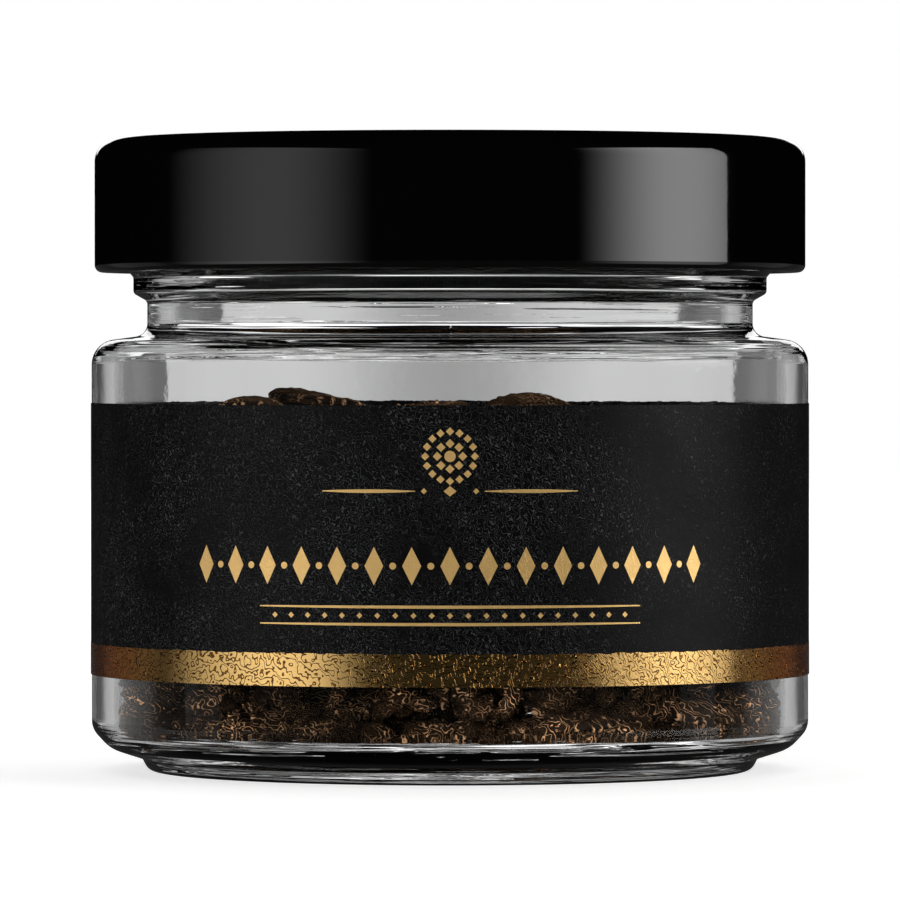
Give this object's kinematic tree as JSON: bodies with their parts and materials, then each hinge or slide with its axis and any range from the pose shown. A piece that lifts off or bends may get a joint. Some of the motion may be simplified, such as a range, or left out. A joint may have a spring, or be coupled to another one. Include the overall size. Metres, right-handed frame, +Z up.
{
  "type": "jar of dried black truffle slices",
  "caption": "Squat glass jar of loose dried black truffle slices, closed by a deep twist-off metal lid and wrapped by a black paper label with a gold foil band.",
  "frame": {"origin": "centre of the foot, on the surface that the jar stands on", "axes": "+Z up along the jar's axis, -Y towards the front of the label, +X to the right seen from the front"},
  "size_m": [0.0864, 0.0863, 0.0758],
  "materials": {
    "clear_glass": "clear pressed glass, smooth and glossy",
    "black_lacquer": "high-gloss black lacquer on sheet steel",
    "sealing_compound": "pale satin sealing compound",
    "label_paper": "black textured paper with a gold foil band",
    "dried_truffle": "matt dried truffle, dark brown with paler veins"
  },
  "bodies": {
    "jar": {"glass_jar": "clear_glass", "label": "label_paper", "truffle_slice_01": "dried_truffle", "truffle_slice_02": "dried_truffle", "truffle_slice_03": "dried_truffle", "truffle_slice_04": "dried_truffle", "truffle_slice_05": "dried_truffle", "truffle_slice_06": "dried_truffle", "truffle_slice_07": "dried_truffle", "truffle_slice_08": "dried_truffle", "truffle_slice_09": "dried_truffle", "truffle_slice_10": "dried_truffle", "truffle_slice_11": "dried_truffle", "truffle_slice_12": "dried_truffle", "truffle_slice_13": "dried_truffle", "truffle_slice_14": "dried_truffle", "truffle_slice_15": "dried_truffle", "truffle_slice_16": "dried_truffle", "truffle_slice_17": "dried_truffle", "truffle_slice_18": "dried_truffle", "truffle_slice_19": "dried_truffle", "truffle_slice_20": "dried_truffle", "truffle_slice_21": "dried_truffle", "truffle_slice_22": "dried_truffle", "truffle_slice_23": "dried_truffle", "truffle_slice_24": "dried_truffle", "truffle_slice_25": "dried_truffle", "truffle_slice_26": "dried_truffle", "truffle_slice_27": "dried_truffle", "truffle_slice_28": "dried_truffle", "truffle_slice_29": "dried_truffle", "truffle_slice_30": "dried_truffle", "truffle_slice_31": "dried_truffle", "truffle_slice_32": "dried_truffle", "truffle_slice_33": "dried_truffle", "truffle_slice_34": "dried_truffle", "truffle_slice_35": "dried_truffle", "truffle_slice_36": "dried_truffle", "truffle_slice_37": "dried_truffle", "truffle_slice_38": "dried_truffle", "truffle_slice_39": "dried_truffle", "truffle_slice_40": "dried_truffle", "truffle_slice_41": "dried_truffle", "truffle_slice_42": "dried_truffle", "truffle_slice_43": "dried_truffle", "truffle_slice_44": "dried_truffle", "truffle_slice_45": "dried_truffle"},
    "seal": {"sealing_ring": "sealing_compound"},
    "lid": {"lid": "black_lacquer"}
  },
  "joints": [
    {"name": "lid_rise", "type": "slide", "parent": "jar", "child": "seal", "axis": [0, 0, 1], "range_m": [0, 0.0018]},
    {"name": "lid_turn", "type": "hinge", "parent": "seal", "child": "lid", "pos_m": [0, 0, 0.0677], "axis": [0, 0, 1], "range_deg": [0, 45]}
  ],
  "couplings": [
    {"joint": "lid_rise", "follows": "lid_turn", "m_per_rad": 0.0022282}
  ]
}
